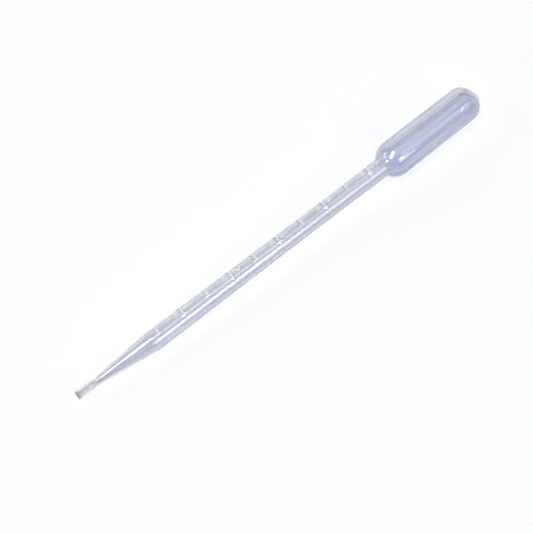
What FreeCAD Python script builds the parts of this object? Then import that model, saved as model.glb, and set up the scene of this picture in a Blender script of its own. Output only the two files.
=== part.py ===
"""Dropper pipette, blow moulded in one piece from clear low-density polyethylene.

Millimetres, +Z up. The pipette lies on its side on a flat surface at Z = 0, as it comes to
rest: the shoulder of the bulb and the far end of the stem touch the surface, and the tip stays
clear of it. +X runs along the stem towards the bulb, and the origin is at the middle of the
underside of the bounding box.

It is built in its own moulding frame and laid down at the end. In that frame X is the distance
from the tip's mouth along the straight stem, the mould parts in the plane Z = 0, and +Z is the
middle of the mould half that carries the scale. The wall is a little thicker in the other mould
half, and the pipette lies with that side down.
"""
import FreeCAD, Part
import math
import os

Vec = FreeCAD.Vector

# ---- Lengths along the axis
taper_length = 36.0             # tip's mouth to the end of the taper, with the tip tube
stem_length = 114.3             # end of the bend above the taper, to the bulb
bulb_length = 53.4              # stem to the crest of the pinched tail

# ---- Tip: a short straight land, a neck, then a long taper
tip_od = 3.65
tip_land_length = 4.4
tip_neck_od = 3.26
tip_neck_at = 7.8               # from the mouth
tip_neck_end_od = 3.86
tip_neck_end_at = 11.8          # where the straight taper starts
tip_lip_radius = 0.2
tip_bore = 1.4
tip_bore_length = 9.0
taper_knee_radius = 25.0        # round where the taper meets the stem

# ---- Stem: slightly waisted, because the hot tube was stretched
stem_od_at_taper = 8.28
stem_waist_od = 7.86
stem_od_at_bulb = 8.55
lower_flare_length = 60.7       # taper to the start of the waist
upper_flare_length = 29.6       # end of the waist to the bulb
stem_wall = 0.36
wall_shift = 0.06               # the hole lies this far off the middle, towards the scale

# ---- Bulb: an oval shoulder, nearly straight sides and a blunt oval end
bulb_od = 15.7
bulb_end_od = 15.5
shoulder_length = 8.4           # axial half-length of the shoulder's oval
bulb_end_length = 6.5           # axial half-length of the end's oval
bulb_wall = 0.4
root_fillet = 0.5               # outside, where the stem meets the shoulder

# ---- Pinched tail, where the mould closed the hot tube, and the mould's parting ridge
tail_height = 1.7               # crest above the bulb's end
tail_radius = 6.45              # of its half-round outline
tail_thickness = 0.7
seam_height = 0.1
seam_width = 0.3

# ---- The set that such a thin part takes: both ends lean the same way off the stem's line
lean_direction_deg = 47.0       # from the scale's side, round the axis
tip_bend_deg = 1.5
tip_bend_radius = 50.0
bulb_lean_deg = 0.67

# ---- Raised scale: ten marks, half a millilitre apart, and every second one is numbered
mark_count = 10
first_mark_gap = 0.75           # from the start of the stem
last_mark_gap = 6.95            # from the last mark to the bulb
mark_width = 0.5
short_mark_half_angle = 28.0
long_mark_half_angle = 50.0
relief = 0.15                   # of marks, numerals and unit above the stem
numeral_gap = 1.7               # from a long mark to the foot of its numeral
numeral_height = 3.0
numeral_width = 1.75
unit_gap = 1.7                  # from a long mark down to the top of its unit
unit_height = 2.3
unit_low_height = 1.5           # of the lower letter
unit_pitch = 0.62               # between the upright strokes of the unit
stroke = 0.42

# ---- Where it lies on a surface, the soft wall is pressed flat by this much
rest_flat = 0.04

# ---- Sizes that follow from those above
bend_length = tip_bend_radius * math.radians(tip_bend_deg)
stem_start = taper_length + bend_length
bulb_start = stem_start + stem_length
stem_r0 = stem_od_at_taper / 2
stem_r1 = stem_waist_od / 2
stem_r2 = stem_od_at_bulb / 2
mark_pitch = (stem_length - first_mark_gap - last_mark_gap) / (mark_count - 1)
shoulder_middle = bulb_start + shoulder_length * math.sqrt(1 - (stem_od_at_bulb / bulb_od) ** 2)
inset = 1.5                     # how far the stem's body runs on inside the bulb's
cut_past = 1.0                  # how far the hole runs on past the mouth, to cut it open
sideways = math.radians(lean_direction_deg)
lean = Vec(0, math.sin(sideways), math.cos(sideways))
along = Vec(1, 0, 0)


def line(start, end):
    return Part.LineSegment(Vec(*start, 0), Vec(*end, 0)).toShape()


def smooth(points, start_slope, end_slope):
    """A smooth curve through points, leaving and arriving at the given slopes."""
    curve = Part.BSplineCurve()
    curve.interpolate(
        Points=[Vec(*p, 0) for p in points],
        InitialTangent=Vec(1, start_slope, 0),
        FinalTangent=Vec(1, end_slope, 0),
    )
    return curve.toShape()


def oval(centre, half_length, radius, start_deg, end_deg):
    """A stretch of an oval about a centre on the axis. 0 degrees is its +X end."""
    turns = [math.radians(start_deg + (end_deg - start_deg) * k / 12) for k in range(13)]
    curve = Part.BSplineCurve()
    curve.interpolate([
        Vec(centre + half_length * math.cos(t), radius * math.sin(t), 0) for t in turns
    ])
    return curve.toShape()


def turned(edges):
    """The round solid whose half outline starts and ends on the axis, or near it."""
    first = edges[0].valueAt(edges[0].FirstParameter)
    last = edges[-1].valueAt(edges[-1].LastParameter)
    closing = []
    if last.y > 1e-6:
        closing.append(line((last.x, last.y), (last.x, 0)))
    closing.append(line((last.x, 0), (first.x, 0)))
    if first.y > 1e-6:
        closing.append(line((first.x, 0), (first.x, first.y)))
    return Part.Face(Part.Wire(edges + closing)).revolve(Vec(0, 0, 0), along, 360)


def taper_edges(start, end_radius):
    """A straight taper from start, and the round knee that ends it flush with the stem."""
    knee = Vec(taper_length, end_radius - taper_knee_radius, 0)
    reach = knee - Vec(*start, 0)
    slope = math.atan2(reach.y, reach.x) + math.asin(taper_knee_radius / reach.Length)

    def on_knee(turn):
        return (knee.x - taper_knee_radius * math.sin(turn),
                knee.y + taper_knee_radius * math.cos(turn))

    points = [Vec(*on_knee(turn), 0) for turn in (slope, slope / 2, 0.0)]
    return slope, [line(start, on_knee(slope)), Part.Arc(*points).toShape()]


def tip_outside(grown=0.0):
    """Tip tube and taper, with its end at the start of the bend, as for a straight pipette."""
    land_r = tip_od / 2 + grown
    neck_end = (tip_neck_end_at, tip_neck_end_od / 2 + grown)
    slope, taper = taper_edges(neck_end, stem_r0 + grown)
    lip = [
        Vec(0, land_r - tip_lip_radius, 0),
        Vec(tip_lip_radius * (1 - math.sqrt(0.5)), land_r - tip_lip_radius * (1 - math.sqrt(0.5)), 0),
        Vec(tip_lip_radius, land_r, 0),
    ]
    neck = [(tip_land_length, land_r), (tip_neck_at, tip_neck_od / 2 + grown), neck_end]
    return turned([
        Part.Arc(*lip).toShape(),
        line((tip_lip_radius, land_r), (tip_land_length, land_r)),
        smooth(neck, 0, math.tan(slope)),
    ] + taper)


def tip_inside():
    bore_end = (tip_bore_length, tip_bore / 2)
    _, taper = taper_edges(bore_end, stem_r0 - stem_wall)
    return turned([line((-cut_past, tip_bore / 2), bore_end)] + taper)


def stem_body(grown=0.0):
    """The waisted stem, run on a little inside the bulb so that the two join cleanly."""
    waist_start = stem_start + lower_flare_length
    waist_end = bulb_start - upper_flare_length
    end_slope = 2 * (stem_r2 - stem_r1) / upper_flare_length
    return turned([
        smooth([(stem_start, stem_r0 + grown), (waist_start, stem_r1 + grown)], 0, 0),
        line((waist_start, stem_r1 + grown), (waist_end, stem_r1 + grown)),
        smooth([(waist_end, stem_r1 + grown), (bulb_start, stem_r2 + grown)], 0, end_slope),
        line((bulb_start, stem_r2 + grown), (bulb_start + inset, stem_r2 + grown)),
    ])


def bulb_body(grown=0.0):
    """The bulb in the stem's frame, before it leans. A negative size gives its inside."""
    side_r = bulb_od / 2
    end_r = bulb_end_od / 2
    end = bulb_start + bulb_length - tail_height - bulb_end_length
    inner_start = 180 - math.degrees(math.asin(0.6 * stem_r2 / side_r))
    return turned([
        oval(shoulder_middle, shoulder_length + grown, side_r + grown, inner_start, 90),
        line((shoulder_middle, side_r + grown), (end, end_r + grown)),
        oval(end, bulb_end_length + grown, end_r + grown, 90, 0),
    ])


def plate(start, end, half_width, thickness):
    """A flat plate in the parting plane."""
    corner = Vec(start, -half_width, -thickness / 2)
    return Part.makeBox(end - start, 2 * half_width, thickness, corner)


def bend(section):
    """Sweep a section at the start of the stem round the bend, towards the tip."""
    return section.revolve(Vec(stem_start, 0, 0) + lean * tip_bend_radius, lean.cross(along),
                           tip_bend_deg)


def bend_body(radius):
    return bend(Part.Face(Part.Wire(Part.makeCircle(radius, Vec(stem_start, 0, 0), along))))


def onto_bend(shape):
    """Move a tip shape from the straight pipette onto the end of the bend."""
    shape.translate(along * bend_length)
    shape.rotate(Vec(stem_start, 0, 0) + lean * tip_bend_radius, lean.cross(along), tip_bend_deg)
    return shape


def leaning(shape):
    """Lean a bulb shape off the stem's line."""
    shape.rotate(Vec(bulb_start, 0, 0), along.cross(lean), bulb_lean_deg)
    return shape


def seam():
    """The parting ridge along both sides, as far as it stands out of the wall.

    It starts behind the land, which is left smooth and round.
    """
    wide = bulb_od
    end = bulb_start + bulb_length - tail_height
    corners = [Vec(stem_start, y * wide, z * seam_width / 2)
               for y, z in ((-1, -1), (1, -1), (1, 1), (-1, 1), (-1, -1))]
    strip = Part.Face(Part.makePolygon(corners))
    ring = bend_body(stem_r0 + seam_height)
    return [
        onto_bend(tip_outside(seam_height).common(
            plate(tip_land_length, taper_length, wide, seam_width))),
        ring.common(bend(strip)),
        stem_body(seam_height).common(plate(stem_start, bulb_start + inset, wide, seam_width)),
        leaning(bulb_body(seam_height).common(plate(bulb_start, end, wide, seam_width))),
    ]


def tail():
    """The pinched tail, a half-round tab in the parting plane."""
    centre = bulb_start + bulb_length - tail_radius
    return leaning(Part.makeCylinder(
        tail_radius, tail_thickness, Vec(centre, 0, -tail_thickness / 2), Vec(0, 0, 1)))


def mark(position, half_angle):
    """One raised mark of the scale: a band part of the way round the stem."""
    deep = stem_r1 / 2
    high = bulb_od
    face = Part.makePlane(mark_width, high - deep, Vec(position - mark_width / 2, 0, deep),
                          Vec(0, -1, 0), along)
    face.rotate(Vec(0, 0, 0), along, -half_angle)
    return face.revolve(Vec(0, 0, 0), along, 2 * half_angle)


def rib(points, rounds=()):
    """A raised stroke through points (across, up) in the plane of the lettering.

    The runs whose number is in rounds go through their middle point as an arc.
    """
    edges = []
    places = [Vec(up, -across, 0) for across, up in points]
    at = 0
    run = 0
    while at < len(places) - 1:
        if run in rounds:
            edges.append(Part.Arc(*places[at:at + 3]).toShape())
            at += 2
        else:
            edges.append(Part.LineSegment(*places[at:at + 2]).toShape())
            at += 1
        run += 1
    if len(edges) == 1 and run - 1 not in rounds:
        ahead = (places[1] - places[0]).normalize()
        aside = Vec(-ahead.y, ahead.x, 0) * (stroke / 2)
        ahead = ahead * (stroke / 2)
        corners = [places[0] - ahead - aside, places[1] + ahead - aside,
                   places[1] + ahead + aside, places[0] - ahead + aside]
        face = Part.Face(Part.makePolygon(corners + corners[:1]))
    else:
        face = Part.Face(Part.Wire(edges).makeOffset2D(stroke / 2, 0, False, False))
    return face.extrude(Vec(0, 0, bulb_od))


def numeral(number):
    """The strokes of a plain numeral, upright towards the bulb and centred on the scale."""
    w = numeral_width / 2
    h = numeral_height
    strokes = {
        1: [rib([(-0.6 * w, 0.8 * h), (0.1 * w, h), (0.1 * w, 0)])],
        2: [rib([(-w, 0.75 * h), (0, h), (w, 0.7 * h), (-w, 0), (w, 0)], rounds=(0,))],
        3: [rib([(-w, 0.85 * h), (0.6 * w, 0.9 * h), (-0.1 * w, 0.55 * h),
                 (w, 0.3 * h), (-w, 0.12 * h)], rounds=(0, 1))],
        4: [rib([(0.4 * w, h), (-w, 0.3 * h), (w, 0.3 * h)]),
            rib([(0.4 * w, h), (0.4 * w, 0)])],
        5: [rib([(0.85 * w, h), (-0.7 * w, h), (-0.8 * w, 0.56 * h),
                 (w, 0.32 * h), (-w, 0.1 * h)], rounds=(2,))],
    }
    return strokes[number]


def unit():
    """The strokes of the unit, ml, with its foot on the line."""
    p = unit_pitch
    low = unit_low_height
    left = [-2 * p, -p, 0]
    arches = [
        rib([(u, 0.55 * low), (u + p / 2, low), (u + p, 0.55 * low), (u + p, 0)], rounds=(0,))
        for u in left[:2]
    ]
    return [rib([(left[0], 0), (left[0], low)])] + arches + [rib([(1.4 * p, 0), (1.4 * p, unit_height)])]


def scale():
    """Every mark, numeral and unit, as far as it stands out of the wall."""
    raised = []
    for index in range(mark_count):
        position = stem_start + first_mark_gap + index * mark_pitch
        numbered = index % 2 == 1
        raised.append(mark(position, long_mark_half_angle if numbered else short_mark_half_angle))
        if numbered:
            for stroke_solid in numeral((index + 1) // 2):
                stroke_solid.translate(along * (position + numeral_gap))
                raised.append(stroke_solid)
            for stroke_solid in unit():
                stroke_solid.translate(along * (position - unit_gap - unit_height))
                raised.append(stroke_solid)
    skin = stem_body(relief)
    return [piece.common(skin) for piece in raised]


def at_root(edge):
    """Is this edge part of the ring where the stem meets the shoulder?"""
    middle = edge.valueAt((edge.FirstParameter + edge.LastParameter) / 2)
    return abs(middle.x - bulb_start) < inset / 2 and edge.BoundBox.XLength < inset


def pipette():
    """The whole hollow pipette in its moulding frame."""
    outside = onto_bend(tip_outside()).fuse([bend_body(stem_r0), stem_body(), leaning(bulb_body())])
    outside = outside.removeSplitter()
    root = [edge for edge in outside.Edges if at_root(edge)]
    outside = outside.makeFillet(root_fillet, root)
    outside = outside.fuse(seam() + [tail()] + scale())
    inside = onto_bend(tip_inside()).fuse([
        bend_body(stem_r0 - stem_wall), stem_body(-stem_wall), leaning(bulb_body(-bulb_wall)),
    ])
    inside.translate(Vec(0, 0, wall_shift))
    return outside.cut(inside).removeSplitter().Solids[0]


def heavy_side_turn(balance):
    """Turn about X, in degrees, that brings the heavy side under the line between the supports.

    The supports are the far end of the stem and the widest ring of the bulb's shoulder.
    """
    lean_turn = FreeCAD.Rotation(along.cross(lean), bulb_lean_deg)
    stem_end = along * stem_start
    shoulder = along * bulb_start + lean_turn.multVec(along * (shoulder_middle - bulb_start))
    share = (balance.x - stem_end.x) / (shoulder.x - stem_end.x)
    off = balance - (stem_end + (shoulder - stem_end) * share)
    return math.degrees(math.atan2(-off.y, -off.z))


def resting_slope(points, balance_x):
    """Slope of the line that the body rests on: the lowest one that spans its balance point."""
    low, high = -1.0, 1.0
    for _ in range(40):
        slope = (low + high) / 2
        touching = min(points, key=lambda p: p.z - slope * p.x)
        if touching.x > balance_x:
            high = slope
        else:
            low = slope
    return slope


def laid_down(shape):
    """Turn the heavy side down, lower both ends onto the surface and centre the box.

    The two places that carry it are then pressed flat.
    """
    turn = heavy_side_turn(shape.CenterOfMass)
    shape.rotate(Vec(0, 0, 0), along, turn)
    points = shape.tessellate(0.01)[0]
    slope = resting_slope(points, shape.CenterOfMass.x)
    shape.rotate(Vec(0, 0, 0), Vec(0, 1, 0), math.degrees(math.atan(slope)))
    box = shape.optimalBoundingBox(False, False)
    shape.translate(Vec(-box.Center.x, -box.Center.y, -box.ZMin - rest_flat))
    pressed = Part.makeBox(box.XLength, box.YLength, 1, Vec(-box.XLength / 2, -box.YLength / 2, -1))
    print("turned", round(turn, 3), "sloped", round(math.degrees(math.atan(slope)), 5), "degrees")
    return shape.cut(pressed).Solids[0]


os.makedirs("parts", exist_ok=True)
body = laid_down(pipette())
body.exportStep("parts/pipette_body.step")

marked_length = (mark_count - 1) * mark_pitch
marked = stem_body(-stem_wall).common(
    plate(stem_start + first_mark_gap, stem_start + first_mark_gap + marked_length, bulb_od, bulb_od))
print("valid", body.isValid(), "volume mm3", round(body.Volume, 1))
print("held between two marks, ml", round(marked.Volume / (mark_count - 1) / 1000, 3))
print("box", body.optimalBoundingBox(False, False))
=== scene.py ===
# %% [markdown]
# # A dropper pipette in thin, slightly milky plastic
#
# The pipette is one hollow piece of soft polyethylene. It was blown from a hot tube inside a
# two-part mould: a squeeze bulb, a slender stem with a raised volume scale, and a fine open tip.
# This lesson models that one skin, gives it its plastic, and lights it on a pale table.
#
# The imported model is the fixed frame. Everything here is measured from its box, in metres.

import math

import bpy
import numpy as np
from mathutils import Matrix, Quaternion, Vector
from mathutils.bvhtree import BVHTree


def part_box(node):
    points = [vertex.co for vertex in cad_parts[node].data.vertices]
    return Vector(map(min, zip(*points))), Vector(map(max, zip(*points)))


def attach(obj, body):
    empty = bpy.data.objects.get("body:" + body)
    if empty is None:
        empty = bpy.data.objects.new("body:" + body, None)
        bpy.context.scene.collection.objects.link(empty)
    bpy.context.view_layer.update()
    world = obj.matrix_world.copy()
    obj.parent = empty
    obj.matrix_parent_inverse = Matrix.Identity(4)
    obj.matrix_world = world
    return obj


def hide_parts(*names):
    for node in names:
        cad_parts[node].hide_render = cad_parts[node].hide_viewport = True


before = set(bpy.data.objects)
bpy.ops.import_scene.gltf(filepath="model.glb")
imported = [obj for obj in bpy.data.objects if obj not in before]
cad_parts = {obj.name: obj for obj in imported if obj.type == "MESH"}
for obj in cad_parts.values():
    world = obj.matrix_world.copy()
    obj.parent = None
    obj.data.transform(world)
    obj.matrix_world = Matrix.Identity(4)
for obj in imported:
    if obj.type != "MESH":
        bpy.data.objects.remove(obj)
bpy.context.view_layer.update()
low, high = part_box("pipette_body")
middle = (low + high) / 2
print("frame, mm:", [[round(v * 1000, 2) for v in corner] for corner in (low, high)])

# %% [markdown]
# ## The camera
#
# A long object is usually pictured from above and a little to one side, with a longish lens so
# that it isn't distorted. We aim at a point near the middle of the pipette, choose the direction
# that we look from, and step back. A camera in Blender looks along its own -Z axis, so a
# quaternion that tracks -Z onto the viewing direction is all the turning it needs. Lamps look
# along -Z as well, so both are placed by the same two helpers.

# %% Helpers for objects
def put_in_scene(name, data):
    """A new object for a camera, a lamp or a mesh."""
    made = bpy.data.objects.new(name, data)
    bpy.context.scene.collection.objects.link(made)
    return made


def face(thing, direction, lean_over=0.0):
    """Point a camera or a lamp in a direction, and then turn it about that direction."""
    thing.rotation_mode = "QUATERNION"
    thing.rotation_quaternion = (direction.to_track_quat("-Z", "Y")
                                 @ Quaternion((0, 0, 1), lean_over))


# %% Place the camera
look_azimuth = math.radians(-39.3)      # the picture's right-hand direction, from +X
look_down = math.radians(65.7)
camera_distance = 0.396
camera_lens = 67.07                     # mm, on a 36 mm sensor
aim = middle + Vector((-0.0131, -0.00171, -0.00933))    # a little towards the tip, and below it

level = Vector((-math.sin(look_azimuth), math.cos(look_azimuth), 0))
forward = level * math.cos(look_down) - Vector((0, 0, 1)) * math.sin(look_down)

camera = put_in_scene("camera", bpy.data.cameras.new("camera"))
camera.data.lens = camera_lens
camera.data.sensor_width = 36
camera.data.clip_start = 0.01
camera.location = aim - forward * camera_distance
face(camera, forward)
bpy.context.scene.camera = camera
print("camera at", [round(v, 3) for v in camera.location])

# %% [markdown]
# ## The outline of the skin
#
# A blown bottle or tube is nearly a turned shape, so its outline is the first thing to draw: the
# radius at each distance from the mouth. It could be drawn as a curve and spun with a Screw
# modifier. We write it as a function instead, because the scale, the parting ridge and the
# pinched tail all have to grow out of the same skin, and a function can be asked for the radius
# anywhere. Lengths in this part are millimetres, as a mould maker would write them.

# %% Driving sizes of the outline
taper_length = 36.0                     # from the mouth to the stem
stem_length = 114.3
bulb_length = 53.4                      # with its tail
tip_radius = 1.825
land_length = 4.4                       # the straight part at the mouth
neck = (7.8, 1.63)                      # distance from the mouth, radius
neck_end = (11.8, 1.93)
lip_radius = 0.2                        # rounding of the mouth's edge
bore_radius, bore_length = 0.7, 9.0
knee_radius = 25.0                      # where the taper turns into the stem
stem_low, stem_waist, stem_high = 4.14, 3.93, 4.275
lower_flare, upper_flare = 60.7, 29.6   # lengths in which the stem narrows to its waist
stem_wall, bulb_wall = 0.36, 0.4
wall_shift = 0.06                       # the inside isn't quite in the middle
bulb_radius, bulb_end_radius = 7.85, 7.75
shoulder_half, end_half = 8.4, 6.5      # lengths of the half ovals at the bulb's two ends
tail_height, tail_radius = 1.7, 6.45
bend_degrees, bend_radius = 1.5, 50.0   # the set that the tip takes
hair = 1e-6                             # just short of a step in the outline
bend_length = bend_radius * math.radians(bend_degrees)
stem_start = taper_length + bend_length
bulb_start = stem_start + stem_length
shoulder_middle = bulb_start + shoulder_half * math.sqrt(1 - (stem_high / bulb_radius) ** 2)
side_end = bulb_start + bulb_length - tail_height - end_half
dome_top = side_end + end_half
tail_middle = bulb_start + bulb_length - tail_radius
print("stem, bulb and top of the dome at", np.round([stem_start, bulb_start, dome_top], 2), "mm")


# %% Two helpers for gradual changes
def ramp(value, start, end):
    """0 up to start, 1 from end on, and even between them."""
    return np.clip((value - start) / (end - start), 0, 1)


def smooth(share):
    """The same change from 0 to 1, with a soft start and a soft end."""
    return share * share * (3 - 2 * share)


print("a quarter of the way is", ramp(1.0, 0, 4), "and softened", smooth(ramp(1.0, 0, 4)))


# %% The tip, the taper and its knee
def taper_line(start, end_radius):
    """Slope of the straight taper, and where the round knee takes over from it."""
    reach_x = taper_length - start[0]
    reach_r = end_radius - knee_radius - start[1]
    slope = math.atan2(reach_r, reach_x) + math.asin(knee_radius / math.hypot(reach_x, reach_r))
    return slope, taper_length - knee_radius * math.sin(slope)


def taper_radius(s, start, end_radius):
    """Radius along a straight taper that a round knee brings flush with the stem."""
    slope, knee_at = taper_line(start, end_radius)
    straight = start[1] + (s - start[0]) * math.tan(slope)
    reach = np.clip(taper_length - s, 0, taper_length - knee_at)
    knee = end_radius - knee_radius + np.sqrt(knee_radius ** 2 - reach ** 2)
    return np.where(s < knee_at, straight, knee)


def hermite(s, a, b, slope_a, slope_b):
    """A smooth curve from point a to point b that leaves and arrives at the given slopes."""
    span = b[0] - a[0]
    t = np.clip((s - a[0]) / span, 0, 1)
    return ((2 * t ** 3 - 3 * t ** 2 + 1) * a[1] + (t ** 3 - 2 * t ** 2 + t) * span * slope_a
            + (3 * t ** 2 - 2 * t ** 3) * b[1] + (t ** 3 - t ** 2) * span * slope_b)


outer_slope = math.tan(taper_line(neck_end, stem_low)[0])
before, after = neck[0] - land_length, neck_end[0] - neck[0]
# the slope at which the two curves that meet in the neck bend alike
neck_slope = ((3 * (neck[1] - tip_radius) / before ** 2 + 3 * (neck_end[1] - neck[1]) / after ** 2
               - outer_slope / after) / (2 / before + 2 / after))
print("outer taper", round(math.degrees(math.atan(outer_slope)), 2), "degrees")


# %% Radius of the outside and of the inside
def outer_radius(s):
    """Outside radius at distance s along the moulding, for an array of distances."""
    s = np.asarray(s, float)
    lip = tip_radius - lip_radius + np.sqrt(np.maximum(
        lip_radius ** 2 - np.clip(lip_radius - s, 0, lip_radius) ** 2, 0))
    waist_from, waist_to = stem_start + lower_flare, bulb_start - upper_flare
    up = np.clip((s - waist_to) / upper_flare, 0, 1)
    shoulder = np.clip((shoulder_middle - s) / shoulder_half, 0, 1)
    dome = np.clip((s - side_end) / end_half, 0, 1)
    side = bulb_radius + (bulb_end_radius - bulb_radius) * (s - shoulder_middle) / (
        side_end - shoulder_middle)
    return np.select(
        [s < land_length, s < neck[0], s < neck_end[0], s < taper_length, s < stem_start,
         s < waist_from, s < bulb_start, s < shoulder_middle, s < side_end],
        [lip,
         hermite(s, (land_length, tip_radius), neck, 0, neck_slope),
         hermite(s, neck, neck_end, neck_slope, outer_slope),
         taper_radius(s, neck_end, stem_low),
         np.full_like(s, stem_low),
         hermite(s, (stem_start, stem_low), (waist_from, stem_waist), 0, 0),
         stem_waist + (stem_high - stem_waist) * up ** 2,
         bulb_radius * np.sqrt(1 - shoulder ** 2),
         side],
        bulb_end_radius * np.sqrt(np.maximum(1 - dome ** 2, 0)))


def inner_radius(s):
    """Inside radius: the fine bore, the tapered throat, then one wall inside the outside."""
    s = np.asarray(s, float)
    bore_end = (bore_length, bore_radius)
    throat = taper_radius(s, bore_end, stem_low - stem_wall)
    shoulder = np.clip((shoulder_middle - s) / (shoulder_half - bulb_wall), 0, 1)
    inside_shoulder = (bulb_radius - bulb_wall) * np.sqrt(1 - shoulder ** 2)
    dome = np.clip((s - side_end) / (end_half - bulb_wall), 0, 1)
    stem = outer_radius(np.minimum(s, bulb_start - hair)) - stem_wall
    return np.select(
        [s < bore_length, s < taper_length, s < shoulder_middle, s < side_end],
        [np.full_like(s, bore_radius), throat, np.maximum(stem, inside_shoulder),
         outer_radius(s) - bulb_wall],
        (bulb_end_radius - bulb_wall) * np.sqrt(np.maximum(1 - dome ** 2, 0)))


print("radii at the stem's ends and waist", np.round(outer_radius([40, 110, 151]), 3))

# %% [markdown]
# ## Raised marks, numerals and the parting ridge
#
# On the real pipette the scale is not printed. It is cut into the mould, so the plastic stands
# out by a hair's breadth. A bump map would fake it in a picture, but it would be missing from the
# mesh. So we give the skin a height function: how far it stands out at each point. Each stroke of
# a numeral is a line, and the height rises over its flanks as we come near that line.

# %% Sizes of the scale and the ridge
mark_count = 10                         # every second one is long and has a numeral
first_mark_gap, last_mark_gap = 0.75, 6.95
mark_pitch = (stem_length - first_mark_gap - last_mark_gap) / (mark_count - 1)
mark_places = [stem_start + first_mark_gap + k * mark_pitch for k in range(mark_count)]
mark_half_width = 0.25
short_half_angle, long_half_angle = math.radians(28), math.radians(50)
relief = 0.15
mark_highlight, letter_highlight = 0.9, 0.85    # painted highlight: raised marks and strokes are painted whiter
flank = 0.05                            # half the width of a raised edge
stroke_half = 0.21
numeral_gap, numeral_height, numeral_half = 1.7, 3.0, 0.875
unit_gap, unit_height, unit_low, unit_pitch = 1.7, 2.3, 1.5, 0.62
ridge_height, ridge_half = 0.1, 0.15
ridge_foot = 1.33                       # where the ridge's flank ends, in ridge halves
print("marks every", round(mark_pitch, 3), "mm")


# %% Strokes of the numerals and of the unit
def arc_through(a, b, c, steps=10):
    """Points on the round stroke that passes through three points."""
    (ax, ay), (bx, by), (cx, cy) = a, b, c
    d = 2 * (ax * (by - cy) + bx * (cy - ay) + cx * (ay - by))
    aa, bb, cc = ax ** 2 + ay ** 2, bx ** 2 + by ** 2, cx ** 2 + cy ** 2
    ox = (aa * (by - cy) + bb * (cy - ay) + cc * (ay - by)) / d
    oy = (aa * (cx - bx) + bb * (ax - cx) + cc * (bx - ax)) / d
    r = math.hypot(ax - ox, ay - oy)
    first, mid, last = (math.atan2(p[1] - oy, p[0] - ox) for p in (a, b, c))
    turn = (last - first) % math.tau
    if (mid - first) % math.tau > turn:
        turn -= math.tau
    directions = [first + turn * k / steps for k in range(steps + 1)]
    return [(ox + r * math.cos(d), oy + r * math.sin(d)) for d in directions]


def pen_path(points, rounds=()):
    """The pen's path through points. Runs whose number is in rounds are round strokes."""
    path, at, run = [points[0]], 0, 0
    while at < len(points) - 1:
        if run in rounds:
            path += arc_through(*points[at:at + 3])[1:]
            at += 2
        else:
            path.append(points[at + 1])
            at += 1
        run += 1
    return path


def numeral_paths(number):
    """Pen paths of a plain numeral, as (across, up) from the middle of its foot."""
    w, h = numeral_half, numeral_height
    return {
        1: [pen_path([(-0.6 * w, 0.8 * h), (0.1 * w, h), (0.1 * w, 0)])],
        2: [pen_path([(-w, 0.75 * h), (0, h), (w, 0.7 * h), (-w, 0), (w, 0)], rounds=(0,))],
        3: [pen_path([(-w, 0.85 * h), (0.6 * w, 0.9 * h), (-0.1 * w, 0.55 * h),
                      (w, 0.3 * h), (-w, 0.12 * h)], rounds=(0, 1))],
        4: [pen_path([(0.4 * w, h), (-w, 0.3 * h), (w, 0.3 * h)]),
            pen_path([(0.4 * w, h), (0.4 * w, 0)])],
        5: [pen_path([(0.85 * w, h), (-0.7 * w, h), (-0.8 * w, 0.56 * h),
                      (w, 0.32 * h), (-w, 0.1 * h)], rounds=(2,))],
    }[number]


def unit_paths():
    """Pen paths of the unit, ml, with its foot on the line."""
    p, top, spring = unit_pitch, unit_low, 0.55 * unit_low
    arches = [pen_path([(u, spring), (u + p / 2, top), (u + p, spring), (u + p, 0)], rounds=(0,))
              for u in (-2 * p, -p)]
    stems = [[(u, 0), (u, height)] for u, height in ((-2 * p, top), (1.4 * p, unit_height))]
    return stems + arches


strokes = []                            # each one runs from (x, y) to (x, y) on the drawn-out skin
for index, place in enumerate(mark_places):
    if index % 2:
        lettering = [(place + numeral_gap, path) for path in numeral_paths((index + 1) // 2)]
        lettering += [(place - unit_gap - unit_height, path) for path in unit_paths()]
        for foot, path in lettering:
            laid = [(foot + up, -sideways) for sideways, up in path]
            strokes += list(zip(laid[:-1], laid[1:]))
print(len(strokes), "short strokes in the lettering")


# %% How far the skin stands out
def rise(distance, half_width):
    """1 inside a raised line, 0 outside, with a smooth flank between them."""
    return smooth(ramp(distance, half_width + flank, half_width - flank))


def stroke_distance(s, y, look_within=1.0):
    """Distance from points (s, y) to the nearest pen stroke, where one is near at all."""
    nearest = np.full(np.shape(s), 9 * look_within)
    for (ax, ay), (bx, by) in strokes:
        dx, dy = bx - ax, by - ay
        near = np.abs(s - (ax + bx) / 2) < abs(dx) / 2 + look_within
        t = np.clip(((s[near] - ax) * dx + (y[near] - ay) * dy) / (dx * dx + dy * dy + 1e-12), 0, 1)
        gap = np.hypot(s[near] - ax - t * dx, y[near] - ay - t * dy)
        nearest[near] = np.minimum(nearest[near], gap)
    return nearest


def scale_height(s, angle, radius):
    """Height of the marks and the lettering, and how white they are painted as a highlight.

    The angle is counted from the middle of the scale.
    """
    marks = np.zeros(np.shape(s))
    for index, place in enumerate(mark_places):
        reach = long_half_angle if index % 2 else short_half_angle
        along = rise(np.abs(s - place), mark_half_width)
        around = rise((np.abs(angle) - reach) * radius, 0)
        marks = np.maximum(marks, along * around)
    y = radius * np.sin(angle)
    lettered = rise(stroke_distance(s, y), stroke_half) * (np.cos(angle) > 0)
    # the raised marks and strokes are painted whiter, as a highlight of their edges
    white = np.maximum(mark_highlight * marks, letter_highlight * lettered)
    return relief * np.maximum(marks, lettered), white


def ridge_share(offset):
    """Rounded profile of the parting ridge, from its middle outwards."""
    return smooth(np.clip(ridge_foot - np.abs(offset) / ridge_half, 0, 1))


print("ridge at its middle and half width", np.round(ridge_share(np.array([0, ridge_half])), 2))

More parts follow.
